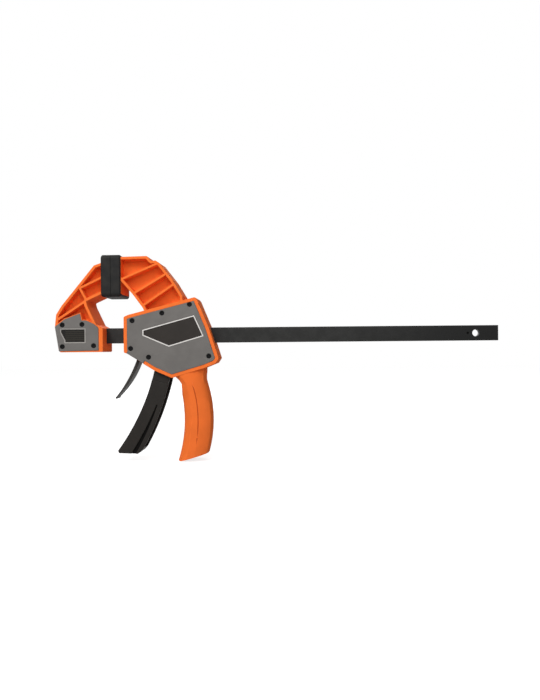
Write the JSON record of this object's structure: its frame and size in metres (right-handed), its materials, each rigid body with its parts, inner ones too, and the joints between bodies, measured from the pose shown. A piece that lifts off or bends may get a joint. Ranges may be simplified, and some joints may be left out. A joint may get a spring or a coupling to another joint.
{
  "type": "quick release bar clamp",
  "caption": "One-handed bar clamp with a ribbed fixed jaw, a sliding housing with trigger, grip and release lever, and soft pads on both jaws.",
  "frame": {"origin": "centre of the hanging hole through the bar's tail, on the bar's middle plane", "axes": "+X along the bar from the fixed jaw to its tail, +Z from the grip up to the pads, +Y through the bar's thickness and along the hanging hole"},
  "size_m": [0.5455, 0.042, 0.2535],
  "materials": {
    "bar_steel": "black oxide satin",
    "orange_plastic": "satin moulded",
    "grey_plastic": "fine texture",
    "plate_dark": "satin",
    "screw_steel": "black oxide",
    "pin_steel": "turned",
    "pad_rubber": "matte",
    "spring_steel": "drawn wire",
    "trigger_plastic": "fine texture",
    "plate_steel": "hardened",
    "lever_steel": "dark satin"
  },
  "bodies": {
    "bar_and_fixed_jaw": {"bar": "bar_steel", "fixed_jaw_frame": "orange_plastic", "fixed_cover_near": "grey_plastic", "fixed_cover_far": "grey_plastic", "fixed_badge_near": "plate_dark", "fixed_badge_far": "plate_dark", "fixed_cover_screws": "screw_steel", "fixed_jaw_pin": "pin_steel", "fixed_pad": "pad_rubber"},
    "moving_jaw": {"housing": "orange_plastic", "main_cover_near": "grey_plastic", "main_cover_far": "grey_plastic", "label_plate_near": "plate_dark", "label_plate_far": "plate_dark", "main_cover_screws": "screw_steel", "moving_pad": "pad_rubber", "trigger_pin": "pin_steel", "drive_spring": "spring_steel", "brake_spring": "spring_steel"},
    "trigger": {"trigger_lever": "trigger_plastic"},
    "drive_pack": {"drive_plate_1": "plate_steel", "drive_plate_2": "plate_steel", "drive_plate_3": "plate_steel"},
    "brake": {"brake_plate": "plate_steel", "release_lever": "lever_steel", "release_rivets": "pin_steel"}
  },
  "joints": [
    {"name": "jaw_slide", "type": "slide", "parent": "bar_and_fixed_jaw", "child": "moving_jaw", "axis": [1, 0, 0], "range_m": [0, 0.3]},
    {"name": "trigger_pivot", "type": "hinge", "parent": "moving_jaw", "child": "trigger", "pos_m": [-0.382, 0, 0.017], "axis": [0, -1, 0], "range_deg": [0, 12], "stiffness_Nm_per_rad": 3, "springref_deg": -2.86},
    {"name": "drive_slide", "type": "slide", "parent": "moving_jaw", "child": "drive_pack", "axis": [1, 0, 0], "range_m": [0, 0.0062], "deforming": ["drive_spring"]},
    {"name": "release_pivot", "type": "hinge", "parent": "moving_jaw", "child": "brake", "pos_m": [-0.4072, 0, 0.0175], "axis": [0, -1, 0], "range_deg": [0, 7.5], "stiffness_Nm_per_rad": 0.6, "springref_deg": -5.73, "deforming": ["brake_spring"]}
  ],
  "couplings": [
    {"joint": "drive_slide", "follows": "trigger_pivot", "m_per_rad": 0.028947}
  ]
}
